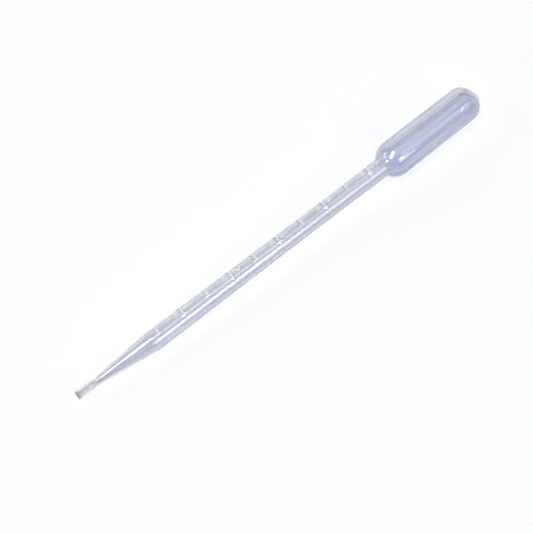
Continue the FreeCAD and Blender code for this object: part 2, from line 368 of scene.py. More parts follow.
# %% [markdown]
# ## Columns and rows of the skin
#
# Thin plastic shows every facet at its edge, so the mesh has to be even where the skin is plain
# and fine where it carries detail. A subdivision modifier would refine everything alike. We set
# out our own columns round the tube instead: close together under the scale and along both
# parting ridges, and wider elsewhere. Rows go round the whole tube, and extra rows cross only the
# narrow strip that holds the lettering.

# %% Angles of the columns
strip = 20                              # columns each side of the scale that carry fine rows
# even under the lettering, then in pairs at the ends of the short and the long marks
stem_angles = [1.2 * k for k in range(strip + 1)] + [27.2, 28.8, 34, 41, 49.2, 50.8, 58, 65, 72.8]
dome_angles = [2.25 * k for k in range(strip + 1)]
# distances from the parting ridge's middle
seam_offsets = [1.2, 0.85, 0.6, 0.45, 0.39, 0.35, 0.31, 0.27, 0.2, 0.15, 0.075, 0.0]
seam_radius = 4.0                       # a narrower row keeps the seam angles of this one
cap_radius = 6.6                        # the last ring, where the dome's patch takes over
patch_half = cap_radius * math.sin(math.radians(45))
shoulder_offsets = np.linspace(patch_half, seam_offsets[0], 10)[1:]
dome_angles += [90 - math.degrees(math.asin(z / cap_radius)) for z in shoulder_offsets]


def column_angles(radius, domed):
    """Angles of the columns at a row of this radius. domed is 0 on the stem, 1 on the dome."""
    wide = max(radius, seam_radius)
    lead = np.array(stem_angles) * (1 - domed) + np.array(dome_angles) * domed
    near_seam = 90 - np.degrees(np.arcsin(np.array(seam_offsets[1:]) / wide))
    lead[-1] = 90 - math.degrees(math.asin(seam_offsets[0] / wide))
    front = np.concatenate([lead, near_seam])
    # mirrored at the parting ridge, and then at the middle of the scale
    half_round = np.concatenate([front, 180 - front[-2::-1]])
    return np.radians(np.concatenate([half_round, 360 - half_round[-2:0:-1]]))


columns = len(column_angles(5.0, 0.0))
print(columns, "columns round the tube")


# %% Places of the rows
def spaced(start, end, step):
    """Even distances from start up to, but not including, end."""
    return list(np.linspace(start, end, max(1, round((end - start) / step)), endpoint=False))


def rows_round():
    """Distances of the rows that go all the way round, from the lip to the dome's patch."""
    # lip and land, with close rows at the land's edge
    places = [lip_radius * (1 - math.cos(math.radians(a))) for a in (0, 22.5, 45, 67.5)]
    places += spaced(lip_radius, land_length - 0.35, 0.55)
    places += [land_length + d for d in (-0.12, -0.04, 0.04, 0.12)]
    # neck, taper and knee
    knee_start = 31
    places += spaced(land_length + 0.4, neck_end[0], 0.45) + spaced(neck_end[0], knee_start, 0.9)
    places += spaced(knee_start, taper_length, 0.55) + [taper_length + 0.35]
    # stem: close over each mark's flanks, plain between the marks
    steps = (-0.30, -0.26, -0.22, -0.18, -0.10, 0, 0.10, 0.18, 0.22, 0.26, 0.30)
    mark_reach, plain_step = steps[-1], 0.94
    for place in mark_places:
        places += [place + d for d in steps]
        if place != mark_places[-1]:
            places += spaced(place + mark_reach, place + mark_pitch - mark_reach, plain_step)[1:]
    # root of the bulb
    root_reach = 0.6
    places += spaced(mark_places[-1] + mark_reach, bulb_start - root_reach, plain_step)[1:]
    places += spaced(bulb_start - root_reach, bulb_start + root_reach, 0.07)
    # shoulder, side and the start of the dome, by even turns along each oval
    first = math.acos((shoulder_middle - bulb_start - root_reach) / shoulder_half)
    places += list(shoulder_middle - shoulder_half * np.cos(np.linspace(first, math.pi / 2, 18)))
    places += spaced(shoulder_middle + 0.9, side_end, 0.95)
    last = math.acos(cap_radius / bulb_end_radius)
    places += list(side_end + end_half * np.sin(np.linspace(0, last, 7)))
    return np.array(places)


def rows_in_strip(places):
    """Extra rows for the lettering, kept clear of the rows that go all the way round."""
    margin, fine_step, clear = 0.3, 0.11, 0.045
    extra = []
    for place in mark_places[1::2]:
        unit_top, numeral_foot = place - unit_gap, place + numeral_gap
        extra += spaced(unit_top - unit_height - margin, unit_top + margin, fine_step)
        extra += spaced(numeral_foot - margin, numeral_foot + numeral_height + margin, fine_step)
    extra = np.array(extra)
    gap = np.abs(extra[:, None] - places[None, :]).min(axis=1)
    return extra[gap > clear]


round_rows = rows_round()
strip_rows = rows_in_strip(round_rows)
row_places = np.concatenate([round_rows, strip_rows])
row_is_round = np.concatenate([np.ones(len(round_rows), bool), np.zeros(len(strip_rows), bool)])
order = np.argsort(row_places)
row_places, row_is_round = row_places[order], row_is_round[order]
print(len(round_rows), "rows all round and", len(strip_rows), "in the strip; closest",
      round(float(np.diff(row_places).min()), 3), "mm")

# %% [markdown]
# ## The outside of the skin
#
# Each point starts on the smooth outline and is pushed out along the outline's own normal by the
# height of the scale or the ridge. Where the stem meets the bulb's shoulder, the corner is rounded
# off by a short curve, less than half a millimetre long.

# %% Points of the outside
fillet_reach = 0.26                     # the root fillet's length on each side of the corner
shoulder_slope = math.radians(55.1)     # how steeply the shoulder leaves the stem
ridge_start = 0.08                      # the ridge comes in over this length past the land
root_highlight, root_spread = 0.12, 0.3     # painted highlight of the root ring's bright line
lower_highlight = 0.8                       # most of all on the lower half, the far side of the ring
highlight_angle = math.radians(-35)         # that side lies opposite this angle
highlight_fade = 0.15                       # how softly it goes over into the other side


def filleted(s):
    """Outer radius with the inside corner between stem and shoulder rounded off."""
    s = np.asarray(s, float)
    a, b = bulb_start - fillet_reach, bulb_start + fillet_reach * math.cos(shoulder_slope)
    ra, rb = outer_radius([a])[0], outer_radius([b])[0]
    corner = outer_radius([bulb_start - hair])[0]
    # a quadratic curve from a to b that heads for the corner at both ends; u runs along it
    t, lead = ramp(s, a, b), (bulb_start - a) / (b - a)
    u = (-lead + np.sqrt(lead ** 2 + t * (1 - 2 * lead))) / (1 - 2 * lead)
    blend = (1 - u) ** 2 * ra + 2 * u * (1 - u) * corner + u ** 2 * rb
    return np.where((s > a) & (s < b), blend, outer_radius(s))


def lower_half(angle):
    """1 on the lower half, where the root ring has a painted highlight, and 0 on the other half."""
    return ramp(-0.5 * np.cos(angle - highlight_angle), -highlight_fade, highlight_fade)


def outline_normal(s, radius_of, d=0.01):
    """Unit normal of the outline: its part along the axis, and its part outwards."""
    slope = (radius_of(s + d) - radius_of(s - d)) / (2 * d)
    size = np.sqrt(1 + slope ** 2)
    return -slope / size, 1 / size


outer_points, outer_thick_and_highlight = [], []
outer_index = np.full((len(row_places), columns), -1)
domed_share = ramp(row_places, bulb_start + 2, side_end - 4)
row_radius = filleted(row_places)
normal_x, normal_r = outline_normal(np.maximum(row_places, lip_radius + 0.02), filleted)
on_dome = row_places > side_end         # an oval's normal is exact there
normal_x[on_dome] = (row_places[on_dome] - side_end) / end_half ** 2
normal_r[on_dome] = row_radius[on_dome] / bulb_end_radius ** 2
length = np.hypot(normal_x, normal_r)
normal_x, normal_r = normal_x / length, normal_r / length

for row, s in enumerate(row_places):
    angles = column_angles(row_radius[row], domed_share[row])
    signed = (angles + math.pi) % math.tau - math.pi
    chosen = np.arange(columns)
    if not row_is_round[row]:
        chosen = np.concatenate([np.arange(columns - strip, columns), np.arange(strip + 1)])
    signed = signed[chosen]
    r = np.full(len(chosen), row_radius[row])
    height, white = scale_height(np.full(len(chosen), s), signed, r)
    past_land = ramp(s, land_length, land_length + ridge_start)
    ridge = ridge_height * ridge_share(r * np.cos(signed)) * past_land
    height = np.maximum(height, ridge)
    outer_index[row, chosen] = len(outer_points) + np.arange(len(chosen))
    x = s + height * normal_x[row]
    r = r + height * normal_r[row]
    outer_points += list(zip(x, r * np.sin(signed), r * np.cos(signed)))
    # painted highlight: the root ring is painted whiter, most of all on the lower half
    ring_highlight = root_highlight + (lower_highlight - root_highlight) * lower_half(signed)
    root = ring_highlight * math.exp(-((s - bulb_start) / root_spread) ** 2)
    # the ridge's whiteness is a painted highlight of the bright line that it catches
    outer_thick_and_highlight += list(np.maximum(np.maximum(white, ridge / ridge_height), root))
outer_points = np.array(outer_points, float)
print(len(outer_points), "points on the outside")


# %% Faces between neighbouring columns
def bridge(left, right, left_at, right_at):
    """Faces between two chains of points that start and end level with each other."""
    if len(left) == 2 and len(right) == 2:
        return [(left[0], left[1], right[1], right[0])]
    faces, i, j = [], 0, 0
    while i < len(left) - 1 or j < len(right) - 1:
        step_left = j == len(right) - 1 or (
            i < len(left) - 1 and left_at[i + 1] + left_at[i] <= right_at[j + 1] + right_at[j])
        if step_left:
            faces.append((left[i], left[i + 1], right[j]))
            i += 1
        else:
            faces.append((left[i], right[j + 1], right[j]))
            j += 1
    return faces


outer_faces = []
for column in range(columns):
    beside = (column + 1) % columns
    both = [row for row in range(len(row_places))
            if outer_index[row, column] >= 0 and outer_index[row, beside] >= 0]
    for first, last in zip(both[:-1], both[1:]):
        span = range(first, last + 1)
        left = [row for row in span if outer_index[row, column] >= 0]
        right = [row for row in span if outer_index[row, beside] >= 0]
        outer_faces += bridge([int(outer_index[row, column]) for row in left],
                              [int(outer_index[row, beside]) for row in right],
                              [row_places[row] for row in left], [row_places[row] for row in right])
print(len(outer_faces), "faces on the outside")

# %% [markdown]
# ## The dome and its pinched tail
#
# Where the mould closed the hot tube it pinched a flat half-round tail across the end of the bulb.
# A pinch never falls quite in the middle, so the tail stands a little to one side. A ring of
# columns that all meet in one point would crowd together right where that tail stands, so the end
# of the dome is a square patch of 40 by 40 cells instead. Its rows run beside the tail, closely
# spaced, and its rim is the last ring of the bulb.

# %% Outline and whiteness of the tail
tail_offset = 0.8                       # the tail's middle, from the middle of the bulb
tail_half, tail_round = 0.42, 0.14      # half its thickness, and the rounding of its shoulders
corner_soft = 0.12                      # rounding of the corners where the tail leaves the dome
least_height = 0.01                     # where it is lower than this, it has run out
tail_white, fold_highlight = 0.35, 0.8      # the pinched plastic, and a painted highlight along the fold at its root
tail_spread, fold_spread = 0.6, 0.35    # both whiten more than the tail's own thickness
white_from, white_to = -0.4, 0.1        # where the whiteness comes in, past the tail's root
fold_middle, fold_width = 0.15, 0.3


def tail_top(y):
    """Outline of the tail: the height of its half-round edge across the bulb."""
    return tail_middle + np.sqrt(np.maximum(tail_radius ** 2 - (y - tail_offset) ** 2, 0))


def tail_share(z):
    """1 in the middle of the tail's thickness and 0 outside it, with rounded shoulders."""
    return smooth(ramp(np.abs(z), tail_half, tail_half - tail_round))


def tail_height_at(past_root):
    """Height of the tail over the dome, with a soft corner where it begins."""
    height = corner_soft * math.log1p(math.exp(past_root / corner_soft))
    return height if height >= least_height else 0.0


def tail_whiteness(past_root, z):
    """Pinched plastic is whiter than the dome; its root's fold has a painted highlight."""
    pinched = tail_white * tail_share(tail_spread * z) * ramp(past_root, white_from, white_to)
    in_fold = math.exp(-((past_root - fold_middle) / fold_width) ** 2)
    return float(max(pinched, fold_highlight * tail_share(fold_spread * z) * in_fold))


print("tail's height at its corner and 1 mm past it", round(tail_height_at(0), 3),
      round(tail_height_at(1), 3), "mm")

# %% The dome's patch
ring = outer_index[np.where(row_is_round)[0][-1]]
across = cap_radius * np.sin(np.radians(np.linspace(-45, 45, 2 * strip + 1)))
lift = np.array([patch_half, *shoulder_offsets[:-1], *seam_offsets])
lift = np.concatenate([-lift, lift[:-1][::-1]])
straight_half = 0.6                     # rows nearer the tail than this stay straight
cells = 2 * strip
along_rim = np.arange(cells + 1)
patch_index = np.full((cells + 1, cells + 1), -1)
patch_index[cells] = ring[(along_rim - strip) % columns]
patch_index[0] = ring[columns // 2 + strip - along_rim]
patch_index[:, cells] = ring[3 * strip - along_rim]
patch_index[:, 0] = ring[columns - 3 * strip + along_rim]
patch_points = []
for j, z_row in enumerate(lift[1:-1], 1):
    arched = ramp(abs(z_row), straight_half, patch_half)
    for i, y_flat in enumerate(across[1:-1], 1):
        z = z_row * (1 + (math.sqrt(cap_radius ** 2 - y_flat ** 2) / patch_half - 1) * arched)
        y = y_flat * math.sqrt(cap_radius ** 2 - z_row ** 2) / patch_half
        dome_x = side_end + end_half * math.sqrt(1 - (y * y + z * z) / bulb_end_radius ** 2)
        steep = math.hypot(y, z) / bulb_end_radius ** 2 / ((dome_x - side_end) / end_half ** 2)
        past_root = float(tail_top(y)) - dome_x
        raised = max(tail_height_at(past_root) * tail_share(z),
                     ridge_height * math.sqrt(1 + steep ** 2) * ridge_share(z))
        patch_index[j, i] = len(outer_points) + len(patch_points)
        patch_points.append((dome_x + raised, y, z))
        outer_thick_and_highlight.append(tail_whiteness(past_root, z))
patch_faces = [tuple(int(patch_index[a]) for a in ((j, i), (j, i + 1), (j + 1, i + 1), (j + 1, i)))
               for j in range(cells) for i in range(cells)]
outer_points = np.concatenate([outer_points, np.array(patch_points)])
outer_faces += patch_faces
print(len(patch_points), "points in the patch")

# %% [markdown]
# ## The inside of the skin
#
# You see the inside of a clear wall as clearly as the outside: half of the glints on a pipette
# come from it. A Solidify modifier would make an inside at one thickness. The real wall is thick
# at the tip, where only a fine bore runs through it, and it wanders a little along the stem,
# because the hot tube was stretched. So the inside gets its own radius, with a faint unevenness
# of up to a hundredth of a millimetre, and a rounded edge joins it to the outside at the mouth.
# Where the stem's bore opens into the bulb, the points on the lower half carry a measure of
# whiteness: a painted highlight for the bright line that the ring shows there, as on the raised
# scale.

# %% Points of the inside
inner_columns = 80
mouth_round = 0.08                      # rounding of the bore's edge at the mouth
inner_shoulder, inner_end = shoulder_half - bulb_wall, end_half - bulb_wall
# the bore and its end, the throat, the stem and the root
inner_places = [mouth_round * (1 - math.cos(math.radians(a))) for a in (0, 45, 90)]
inner_places += spaced(0.5, bore_length, 0.8) + spaced(bore_length, bore_length + 2, 0.4)
inner_places += spaced(bore_length + 2, taper_length - 6, 1.2)
inner_places += spaced(taper_length - 6, taper_length, 0.6)
inner_places += spaced(taper_length, bulb_start - 1, 1.05)
inner_places += spaced(bulb_start - 1, bulb_start + 1, 0.12)
# the shoulder, the side and the dome
first_turn = math.acos((shoulder_middle - bulb_start - 1) / inner_shoulder)
shoulder_turns = np.linspace(first_turn, math.pi / 2, 18)
inner_places += list(shoulder_middle - inner_shoulder * np.cos(shoulder_turns))
inner_places += spaced(shoulder_middle + 0.9, side_end, 0.9)
inner_places += list(side_end + inner_end * np.sin(np.radians(np.linspace(0, 88, 24))))
inner_places = np.array(inner_places)


def wander(s, angle):
    """Unevenness of the inside, in mm: long waves along the wall and slow ones round it."""
    grow = ramp(s, 14, 30) * ramp(s, dome_top - 3, dome_top - 9)
    return grow * (0.004 * np.sin(2 * angle + 0.015 * s + 0.7)
                   + 0.003 * np.sin(3 * angle - 0.011 * s + 2.1)
                   + 0.002 * np.sin(5 * angle + 0.007 * s)
                   + 0.0012 * np.sin(0.31 * s + 1.3 * np.cos(angle)))


inner_angles = np.linspace(0, math.tau, inner_columns, endpoint=False)
inner_corner = shoulder_middle - inner_shoulder * math.sqrt(
    1 - ((stem_high - stem_wall) / (bulb_radius - bulb_wall)) ** 2)
inner_points, inner_highlight = [], []
for s in inner_places:
    r = inner_radius(s) + wander(s, inner_angles)
    if s < mouth_round:
        r = r + mouth_round - math.sqrt(mouth_round ** 2 - (mouth_round - s) ** 2)
    inner_points += list(zip(np.full(inner_columns, s), r * np.sin(inner_angles),
                             r * np.cos(inner_angles)))
    # painted highlight: the inside of the root ring is painted whiter on the lower half
    root = math.exp(-((s - inner_corner) / root_spread) ** 2)
    inner_highlight += list(root * lower_half(inner_angles))
inner_points.append((side_end + inner_end, 0.0, 0.0))
inner_highlight.append(0.0)
inner_points = np.array(inner_points)
print(len(inner_points), "points on the inside")

# %% Faces of the inside, and the face of the mouth
offset = len(outer_points)
inner_faces = []
for row in range(len(inner_places)):
    for column in range(inner_columns):
        a = offset + row * inner_columns + column
        b = offset + row * inner_columns + (column + 1) % inner_columns
        if row < len(inner_places) - 1:
            inner_faces.append((a, b, b + inner_columns, a + inner_columns))
        else:
            inner_faces.append((a, b, offset + len(inner_points) - 1))

mouth_angles = list(column_angles(row_radius[0], 0.0)) + [math.tau]
mouth_ring = [int(outer_index[0, k % columns]) for k in range(columns + 1)]
bore_ring = [offset + k % inner_columns for k in range(inner_columns + 1)]
mouth_faces = bridge(mouth_ring, bore_ring, mouth_angles, list(inner_angles) + [math.tau])
mouth_faces = [face[::-1] for face in mouth_faces]
print(len(inner_faces), "faces inside,", len(mouth_faces), "on the mouth")

# %% [markdown]
# ## From the mould to the table
#
# So far the skin is as straight as its mould. A real one takes a slight set: the tip curves, and
# the bulb leans a little off the stem's line. Then it is laid down. It rolls to its heavy side
# and rests on the shoulder of the bulb and the far end of the stem. All of this is plain turning,
# so it is done to the points themselves, and no object is left with a rotation of its own.

# %% Bend, lean and lay down
to_mm = 1000
lean_direction = math.radians(47.0)     # counted from the middle of the scale
lean = np.array([0, math.sin(lean_direction), math.cos(lean_direction)])
lean_axis = np.array([0, -lean[2], lean[1]])
bulb_lean, lean_length = math.radians(0.67), 0.6    # the lean comes in over this length
roll, slope = math.radians(-23.735), math.radians(-1.72357)


def turn_points(points, centre, axis, angle):
    """Turn each point about an axis through centre, by its own angle."""
    r = points - centre
    c, s = np.cos(angle)[:, None], np.sin(angle)[:, None]
    return centre + r * c + np.cross(axis, r) * s + np.outer(r @ axis, axis) * (1 - c)


def set_by_age(points):
    """Curve the tip and lean the bulb, both towards the same side."""
    s = points[:, 0].copy()
    tip_turn = np.clip((stem_start - s) / bend_radius, 0, math.radians(bend_degrees))
    shaped = points.copy()
    shaped[:, 0] = np.where(s < stem_start, stem_start + np.minimum(s - taper_length, 0), s)
    centre = np.array([stem_start, 0, 0]) + lean * bend_radius
    shaped = turn_points(shaped, centre, -lean_axis, tip_turn)
    leaning = smooth(ramp(s, bulb_start - lean_length / 2, bulb_start + lean_length / 2))
    return turn_points(shaped, np.array([bulb_start, 0, 0]), lean_axis, bulb_lean * leaning)


def laid_down(points):
    """Roll to the heavy side, then slope the stem so that both supports touch."""
    x, y, z = points.T
    y, z = y * math.cos(roll) - z * math.sin(roll), y * math.sin(roll) + z * math.cos(roll)
    x, z = x * math.cos(slope) + z * math.sin(slope), -x * math.sin(slope) + z * math.cos(slope)
    return np.stack([x, y, z], axis=1)


outside = laid_down(set_by_age(outer_points))
inside = laid_down(set_by_age(inner_points) + [0, 0, wall_shift])
move = np.array([
    ((low.x + high.x) * to_mm - outside[:, 0].min() - outside[:, 0].max()) / 2,
    ((low.y + high.y) * to_mm - outside[:, 1].min() - outside[:, 1].max()) / 2,
    high.z * to_mm - outside[:, 2].max()])
outside, inside = outside + move, inside + move
print("pressed flat where it lies by", round(-float(outside[:, 2].min()), 3), "mm")
outside[:, 2] = np.maximum(outside[:, 2], 0)

# %% Build the skin
points = np.concatenate([outside, inside]) / to_mm
mesh = bpy.data.meshes.new("pipette_skin")
mesh.from_pydata(points.tolist(), [], outer_faces + inner_faces + mouth_faces)
mesh.validate()
mesh.polygons.foreach_set("use_smooth", [True] * len(mesh.polygons))
pipette = put_in_scene("pipette_skin", mesh)
mesh.calc_loop_triangles()
loop_edges = np.zeros(len(mesh.loops), int)
mesh.loops.foreach_get("edge_index", loop_edges)
faces_at_edge = np.bincount(loop_edges, minlength=len(mesh.edges))
print(len(mesh.loop_triangles), "triangles, and", int((faces_at_edge != 2).sum()),
      "edges that aren't shared by two faces")


# %% Measures that the points carry
def carry(name, values):
    """Store a measure from 0 to 1 at every point, for the plastic to read."""
    stored = mesh.attributes.new(name, "FLOAT", "POINT").data
    stored.foreach_set("value", np.array(values, np.float32))
    print(name, "is", round(float(np.mean(values)), 3), "on average")


# painted shade: the shoulder, and a little the dome, are darkened for the dark patches seen there
shoulder_painted_shade, dome_painted_shade = 0.6, 0.1
calm_radius = 3.5                       # nearer the axis, above and below fade into each other
mould_s, mould_y, mould_z = np.concatenate([outer_points, inner_points]).T
at_shoulder = (ramp(mould_s, bulb_start - 0.5, bulb_start + 1.5)
               * ramp(mould_s, bulb_start + 15, bulb_start + 7))
at_dome = ramp(mould_s, side_end - 6, side_end)
# painted light from above: below is 1 on the lower half, which is darker; the tail counts as lower
below = 0.5 - 0.5 * mould_z / np.maximum(np.hypot(mould_y, mould_z), calm_radius)
on_tail = ramp(mould_s, dome_top + 0.1, dome_top + 0.4)
carry("thick_and_highlight", outer_thick_and_highlight + inner_highlight)
carry("painted_shade_patch", np.maximum(shoulder_painted_shade * at_shoulder, dome_painted_shade * at_dome))
carry("under", np.maximum(below, on_tail))

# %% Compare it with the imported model
cad_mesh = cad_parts["pipette_body"].data
cad_tree = BVHTree.FromPolygons([v.co[:] for v in cad_mesh.vertices],
                                [p.vertices[:] for p in cad_mesh.polygons])
every = 7                               # a seventh of the points is enough to judge by
gaps = np.array([cad_tree.find_nearest(Vector(p))[3] for p in points[::every]]) * to_mm
print("distance to the packed model:", round(float(gaps.mean()), 4), "mm on average, at most",
      round(float(gaps.max()), 3), "mm")

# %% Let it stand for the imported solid
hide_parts("pipette_body")
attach(pipette, "root")
print(pipette.name, "stands for the packed solid and rides on its body")

# %% [markdown]
# ## Milky, faintly blue plastic
#
# Low-density polyethylene is clear in a thin wall, but never as clear as glass: tiny crystals in
# it scatter some of the light, and the resin has a cool, faintly violet cast. A Glass shader alone
# would look like a test tube. The Principled shader can mix the two: most of its light goes
# through, bent by the plastic's index of 1.51, and the rest comes back as a soft milky sheen.
#
# The colour isn't the same everywhere. It is painted darker at the cut end, a painted shade for the
# open bore, and at the shoulder and the dome, a painted shade for the dark patches that the curved
# wall shows there. The bulb is painted a little darker than the stem, for its shadier inside. The
# upper half is painted a little paler and the underside darker, painted light from above, and the
# tail takes the darker tint as well. Raised strokes, the ridge, the root ring and the fold at the
# tail are painted white as highlights of the bright lines that they catch, and the pinched tail is
# whiter as thick plastic. We could paint that with an image, but the skin's own points already know
# where they are, so they carry three measures, thick_and_highlight, painted_shade_patch and under,
# and the nodes mix the colours by them.
#
# Noise in slow clouds changes how milky it is, long fine streaks follow the way the tube was
# drawn, and a very small bump keeps the gloss from looking machined. Light that passes through a
# thin clear wall should reach the table too. So for shadow rays only, the skin is a tinted
# Transparent shader.

# %% Helpers for nodes
def empty_material(name):
    """A material whose nodes are still to be made."""
    made = bpy.data.materials.new(name)
    made.use_nodes = True
    made.node_tree.nodes.clear()
    return made


def fill(tree, socket, value):
    """Give an input a number, a colour, three lengths, or another node's output."""
    if isinstance(value, bpy.types.NodeSocket):
        tree.links.new(value, socket)
    else:
        socket.default_value = (*value, 1) if socket.type == "RGBA" else value


def add_node(tree, kind, inputs=None, **settings):
    """Add a node and fill its inputs, called by name, or by number where names repeat."""
    node = tree.nodes.new("ShaderNode" + kind)
    for name, value in settings.items():
        setattr(node, name, value)
    in_use = {socket.name: socket for socket in node.inputs if socket.enabled}
    for key, value in (inputs or {}).items():
        fill(tree, node.inputs[key] if isinstance(key, int) else in_use[key], value)
    return node


# %% The plastic's shaders
plastic = empty_material("cloudy_polyethylene")
in_skin = plastic.node_tree
shadow_tint = (0.71, 0.73, 0.785)
skin = add_node(in_skin, "BsdfPrincipled", {"IOR": 1.51, "Specular IOR Level": 1.0})
let_through = add_node(in_skin, "BsdfTransparent", {"Color": shadow_tint})
rays = add_node(in_skin, "LightPath")
either = add_node(in_skin, "MixShader", {"Fac": rays.outputs["Is Shadow Ray"],
                                         1: skin.outputs["BSDF"], 2: let_through.outputs["BSDF"]})
add_node(in_skin, "OutputMaterial", {"Surface": either.outputs["Shader"]})
pipette.data.materials.append(plastic)
print("nodes:", [node.bl_label for node in in_skin.nodes])


# %% Noise, and mixing by it
noise_low, noise_high = 0.3, 0.7        # most of a noise lies between these


def noise(scale, stretch, detail, seed):
    """Noise in the pipette's own space, stretched along its length."""
    place = add_node(in_skin, "TexCoord")
    fit = add_node(in_skin, "Mapping", {"Vector": place.outputs["Object"],
                                        "Scale": (scale / stretch, scale, scale),
                                        "Location": (seed, seed * 1.7, seed * 2.3)})
    return add_node(in_skin, "TexNoise", {"Vector": fit.outputs["Vector"], "Scale": 1.0,
                                          "Detail": detail}).outputs["Fac"]


def mixed(share, first, second, kind="MIX"):
    """Go from first to second by share. Each one may be a socket, a number or a colour."""
    ends = (first, second)
    coloured = any(isinstance(k, tuple) or getattr(k, "type", "") == "RGBA" for k in ends)
    mix = add_node(in_skin, "Mix", {"Factor": share, "A": first, "B": second},
                   data_type="RGBA" if coloured else "FLOAT", blend_type=kind)
    return next(k for k in mix.outputs if k.enabled)


def across_noise(value, low_end, high_end):
    """Spread the middle of a noise from one number or colour to another."""
    spread = add_node(in_skin, "MapRange", {"Value": value, "From Min": noise_low,
                                            "From Max": noise_high})
    return mixed(spread.outputs["Result"], low_end, high_end)


clouds = noise(scale=140, stretch=2.5, detail=3, seed=0.3)
streaks = noise(scale=1500, stretch=40, detail=2, seed=1.1)
print("noise in clouds and in streaks:", len(in_skin.nodes), "nodes")


# %% Where a point lies
place_parts = add_node(in_skin, "SeparateXYZ",
                       {"Vector": add_node(in_skin, "TexCoord").outputs["Object"]})


def along_between(start, end):
    """0 before start, 1 beyond end, along the pipette, in metres."""
    return add_node(in_skin, "MapRange", {"Value": place_parts.outputs["X"], "From Min": start,
                                          "From Max": end}).outputs["Result"]


def measure(name):
    """One of the measures that the skin's points carry."""
    return add_node(in_skin, "Attribute", attribute_name=name).outputs["Fac"]


cut_at, tip_end, bulb_foot = low.x + 0.0006, low.x + 0.0185, high.x - 0.0565
fade = 0.01                             # the colours go over into each other in a centimetre
past_cut = along_between(cut_at, cut_at + fade / 10)
past_tip = along_between(tip_end - fade, tip_end)
onto_bulb = along_between(bulb_foot, bulb_foot + fade)
print("tip up to", round(tip_end * to_mm, 1), "mm, bulb from", round(bulb_foot * to_mm, 1), "mm")

# %% Colour from the cut end to the bulb
# painted shade: the cut end is dark grey, for the shadow in the open bore
bore_shade_colour = (0.40, 0.40, 0.42)
tip_colour = mixed(past_cut, bore_shade_colour,
                   across_noise(clouds, (0.60, 0.60, 0.64), (0.66, 0.66, 0.69)))
stem_colour = mixed(past_tip, tip_colour,
                    across_noise(clouds, (0.69, 0.695, 0.74), (0.745, 0.75, 0.785)))
# the bulb's colours are darker than the stem's, a painted shade for the bulb's shadier inside
side_colour = across_noise(clouds, (0.645, 0.665, 0.74), (0.715, 0.73, 0.785))
# painted shade: the darker colour for the shoulder and the dome
painted_shade_colour = across_noise(clouds, (0.545, 0.58, 0.715), (0.615, 0.645, 0.755))
bulb_colour = mixed(measure("painted_shade_patch"), side_colour, painted_shade_colour)
colour = mixed(onto_bulb, stem_colour, bulb_colour)
# painted light from above: the upper half is mixed a little towards white, the lower half darkened
painted_top_light, painted_under_shade = 0.2, (0.93, 0.93, 0.93)
lit_top_colour = mixed(painted_top_light, colour, (1, 1, 1))
shaded_under_colour = mixed(1.0, colour, painted_under_shade, "MULTIPLY")
colour = mixed(measure("under"), lit_top_colour, shaded_under_colour)
# painted highlights on the strokes, ridge, root ring and fold; the thick tail is whiter too
thick_and_highlight_colour = (0.92, 0.93, 0.97)
fill(in_skin, skin.inputs["Base Color"], mixed(measure("thick_and_highlight"), colour, thick_and_highlight_colour))
print("colour, by", len(in_skin.nodes), "nodes so far")

# %% Clearness, gloss and grain
# the painted highlights and the tail let less light through, and look milky
thick_and_highlight_clearness, tip_gloss = 0.2, 0.13
clearness = mixed(measure("thick_and_highlight"), across_noise(clouds, 0.985, 0.955), thick_and_highlight_clearness)
gloss = mixed(past_tip, tip_gloss, across_noise(streaks, 0.05, 0.10))
bump = add_node(in_skin, "Bump", {"Strength": 0.06, "Distance": 0.0002, "Height": streaks})
fill(in_skin, skin.inputs["Transmission Weight"], clearness)
fill(in_skin, skin.inputs["Roughness"], gloss)
fill(in_skin, skin.inputs["Normal"], bump.outputs["Normal"])
print("plastic with", len(in_skin.nodes), "nodes")

# %% [markdown]
# ## The table and what stands behind it
#
# The pipette lies on a plain pale table. One plane is enough for it, with a matt, nearly white
# paint. To bring the empty table up to paper white without pouring more light on the object, its
# material adds a little glow that only the camera, reflections and things seen through clear
# plastic can see. The table still darkens where the pipette shades it.
#
# Seen from low down, a table runs out towards the horizon, past the reach of the lamps, where it
# would turn grey. So its material fades into plain paper a long way out, and the sky behind is the
# same paper to the eye. Gloss and clear plastic see that paper only as a low backdrop round the
# table. Above it they meet the dim room, which is what gives a clear bulb its darker bands.

# %% Table
reach = 20.0                            # metres from the middle to each side
air_gap = 0.00005                       # so that the skin and the table don't share a plane
table_mesh = bpy.data.meshes.new("table")
corners = [(-reach, -reach, 0), (reach, -reach, 0), (reach, reach, 0), (-reach, reach, 0)]
table_mesh.from_pydata(corners, [], [(0, 1, 2, 3)])
table = put_in_scene("table", table_mesh)
table.location.z = low.z - air_gap
print("table", 2 * reach, "m wide")


# %% Which rays see the glow
def brighter(tree, first, second):
    """The larger of two values."""
    return add_node(tree, "Math", {0: first, 1: second}, operation="MAXIMUM").outputs[0]


def times(tree, value, by):
    """A value times a number or another value."""
    return add_node(tree, "Math", {0: value, 1: by}, operation="MULTIPLY").outputs[0]


def seen_in_plastic(tree, rays):
    """1 for what shows in gloss or through the clear wall."""
    return brighter(tree, rays.outputs["Is Glossy Ray"], rays.outputs["Is Transmission Ray"])


paper = (0.985, 0.987, 0.987)           # what the eye should meet where nothing lies
glow_to_eye, glow_in_plastic = 0.275, 0.23
print("glow to the eye", glow_to_eye, "and in the plastic", glow_in_plastic)

